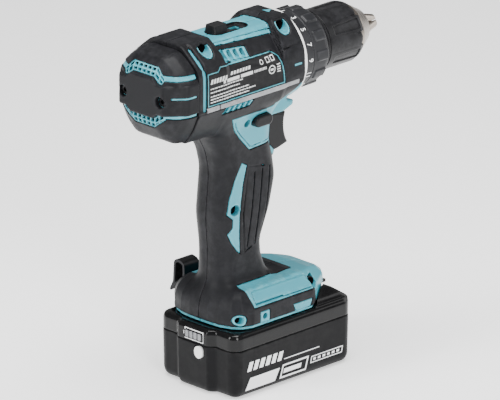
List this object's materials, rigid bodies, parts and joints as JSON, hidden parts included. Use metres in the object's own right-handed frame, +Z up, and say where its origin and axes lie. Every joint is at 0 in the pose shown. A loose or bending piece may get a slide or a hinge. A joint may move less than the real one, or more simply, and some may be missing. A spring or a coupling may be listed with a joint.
{
  "type": "cordless drill",
  "caption": "Pistol-grip cordless drill driver with keyless chuck, torque ring, planetary gearbox, brushed motor and slide-on battery pack.",
  "frame": {"origin": "on the underside of the battery pack, in the mid-plane of the drill, under the middle of the pack", "axes": "+X forward along the chuck, +Y to the drill's left, +Z up"},
  "size_m": [0.216, 0.0863, 0.2525],
  "materials": {
    "teal_plastic": "moulded, fine satin",
    "black_rubber": "soft-touch overmould, fine grain",
    "black_plastic": "moulded, satin",
    "grey_black_plastic": "glass-filled nylon, satin",
    "gloss_black_plastic": "polished",
    "white_plastic": "satin",
    "label_film": "printed film",
    "steel": "machined",
    "nickel_steel": "turned, nickel plated",
    "blackened_steel": "black oxide",
    "laminations": "varnished sheet stack",
    "magnet": "sintered ferrite",
    "copper": "enamelled wire",
    "brass": "tinned strip",
    "carbon": "pressed carbon",
    "clear_lens": "clear moulded",
    "cell_wrap": "shrink-wrapped cell",
    "circuit_board": "coated board"
  },
  "bodies": {
    "drill_body": {"right_housing": "teal_plastic", "left_housing": "teal_plastic", "right_overmould": "black_rubber", "left_overmould": "black_rubber", "rear_cover": "teal_plastic", "rear_cover_overmould": "black_rubber", "rear_cover_screws": "blackened_steel", "housing_screws": "blackened_steel", "rating_plate": "label_film", "indicator_ring": "white_plastic", "gear_case": "grey_black_plastic", "input_ring_gear": "grey_black_plastic", "output_ring_gear": "steel", "spindle_bearings": "steel", "clutch_spring": "steel", "clutch_washer": "steel", "motor_can": "steel", "magnets": "magnet", "motor_bearings": "steel", "brush_holder": "grey_black_plastic", "brushes": "carbon", "switch_body": "black_plastic", "work_light_lens": "clear_lens", "terminal_block": "black_plastic", "terminal_blades": "brass", "belt_hook": "blackened_steel", "hook_screw": "blackened_steel"},
    "rotor": {"armature_core": "laminations", "windings": "copper", "commutator": "copper", "motor_shaft": "steel", "motor_pinion": "steel", "cooling_fan": "grey_black_plastic"},
    "first_carrier": {"input_carrier": "steel"},
    "spindle": {"output_spindle": "steel", "chuck_body": "nickel_steel", "chuck_screw": "steel"},
    "torque_ring": {"clutch_ring": "grey_black_plastic"},
    "sleeve": {"chuck_sleeve": "grey_black_plastic"},
    "selector": {"speed_selector": "black_plastic"},
    "trigger_lever": {"trigger": "black_plastic"},
    "reversing_lever": {"direction_lever": "black_plastic"},
    "battery": {"battery_case_lower": "black_plastic", "battery_case_upper": "gloss_black_plastic", "battery_terminals": "brass", "battery_cells": "cell_wrap", "cell_straps": "steel", "battery_board": "circuit_board", "gauge_panel": "gloss_black_plastic"},
    "latch_button": {"release_button": "gloss_black_plastic"},
    "gauge_button": {"check_button": "white_plastic"},
    "input_planet_1": {"input_planet_1": "steel"},
    "input_planet_2": {"input_planet_2": "steel"},
    "input_planet_3": {"input_planet_3": "steel"},
    "output_planet_1": {"output_planet_1": "steel"},
    "output_planet_2": {"output_planet_2": "steel"},
    "output_planet_3": {"output_planet_3": "steel"},
    "jaw_1": {"chuck_jaw_1": "nickel_steel"},
    "jaw_2": {"chuck_jaw_2": "nickel_steel"},
    "jaw_3": {"chuck_jaw_3": "nickel_steel"}
  },
  "joints": [
    {"name": "spindle_spin", "type": "hinge", "parent": "drill_body", "child": "spindle", "pos_m": [0, 0, 0.2195], "axis": [1, 0, 0], "continuous": true},
    {"name": "first_carrier_spin", "type": "hinge", "parent": "drill_body", "child": "first_carrier", "pos_m": [0, 0, 0.2195], "axis": [1, 0, 0], "continuous": true},
    {"name": "rotor_spin", "type": "hinge", "parent": "drill_body", "child": "rotor", "pos_m": [0, 0, 0.2195], "axis": [1, 0, 0], "continuous": true},
    {"name": "input_planet_1_spin", "type": "hinge", "parent": "first_carrier", "child": "input_planet_1", "pos_m": [0, 0.01125, 0.2195], "axis": [1, 0, 0], "continuous": true},
    {"name": "input_planet_2_spin", "type": "hinge", "parent": "first_carrier", "child": "input_planet_2", "pos_m": [0, -0.00562, 0.22924], "axis": [1, 0, 0], "continuous": true},
    {"name": "input_planet_3_spin", "type": "hinge", "parent": "first_carrier", "child": "input_planet_3", "pos_m": [0, -0.00562, 0.20976], "axis": [1, 0, 0], "continuous": true},
    {"name": "output_planet_1_spin", "type": "hinge", "parent": "spindle", "child": "output_planet_1", "pos_m": [0, 0.012, 0.2195], "axis": [1, 0, 0], "continuous": true},
    {"name": "output_planet_2_spin", "type": "hinge", "parent": "spindle", "child": "output_planet_2", "pos_m": [0, -0.006, 0.22989], "axis": [1, 0, 0], "continuous": true},
    {"name": "output_planet_3_spin", "type": "hinge", "parent": "spindle", "child": "output_planet_3", "pos_m": [0, -0.006, 0.20911], "axis": [1, 0, 0], "continuous": true},
    {"name": "chuck_sleeve_turn", "type": "hinge", "parent": "spindle", "child": "sleeve", "pos_m": [0, 0, 0.2195], "axis": [1, 0, 0], "range_deg": [0, 1800]},
    {"name": "jaw_1_slide", "type": "slide", "parent": "spindle", "child": "jaw_1", "axis": [-0.9613, 0, 0.2756], "range_m": [0, 0.0225]},
    {"name": "jaw_2_slide", "type": "slide", "parent": "spindle", "child": "jaw_2", "axis": [-0.9613, -0.2387, -0.1378], "range_m": [0, 0.0225]},
    {"name": "jaw_3_slide", "type": "slide", "parent": "spindle", "child": "jaw_3", "axis": [-0.9613, 0.2387, -0.1378], "range_m": [0, 0.0225]},
    {"name": "torque_ring_turn", "type": "hinge", "parent": "drill_body", "child": "torque_ring", "pos_m": [0, 0, 0.2195], "axis": [1, 0, 0], "range_deg": [-300, 0]},
    {"name": "speed_selector_slide", "type": "slide", "parent": "drill_body", "child": "selector", "axis": [1, 0, 0], "range_m": [0, 0.011]},
    {"name": "trigger_pull", "type": "slide", "parent": "drill_body", "child": "trigger_lever", "axis": [-1, 0, 0], "range_m": [0, 0.007], "stiffness_N_per_m": 800, "springref_m": -0.004},
    {"name": "direction_lever_slide", "type": "slide", "parent": "drill_body", "child": "reversing_lever", "axis": [0, 1, 0], "range_m": [0, 0.005]},
    {"name": "battery_slide", "type": "slide", "parent": "drill_body", "child": "battery", "axis": [1, 0, 0], "range_m": [0, 0.12]},
    {"name": "release_button_press", "type": "slide", "parent": "battery", "child": "latch_button", "axis": [0, 0, -1], "range_m": [0, 0.003], "stiffness_N_per_m": 600, "springref_m": -0.003},
    {"name": "check_button_press", "type": "slide", "parent": "battery", "child": "gauge_button", "axis": [1, 0, 0], "range_m": [0, 0.001], "stiffness_N_per_m": 800, "springref_m": -0.002}
  ],
  "couplings": [
    {"joint": "first_carrier_spin", "follows": "spindle_spin", "ratio": 4},
    {"joint": "rotor_spin", "follows": "spindle_spin", "ratio": 20},
    {"joint": "input_planet_1_spin", "follows": "spindle_spin", "ratio": -10.667},
    {"joint": "input_planet_2_spin", "follows": "spindle_spin", "ratio": -10.667},
    {"joint": "input_planet_3_spin", "follows": "spindle_spin", "ratio": -10.667},
    {"joint": "output_planet_1_spin", "follows": "spindle_spin", "ratio": -3},
    {"joint": "output_planet_2_spin", "follows": "spindle_spin", "ratio": -3},
    {"joint": "output_planet_3_spin", "follows": "spindle_spin", "ratio": -3},
    {"joint": "jaw_1_slide", "follows": "chuck_sleeve_turn", "m_per_rad": 0.0007162},
    {"joint": "jaw_2_slide", "follows": "chuck_sleeve_turn", "m_per_rad": 0.0007162},
    {"joint": "jaw_3_slide", "follows": "chuck_sleeve_turn", "m_per_rad": 0.0007162}
  ]
}
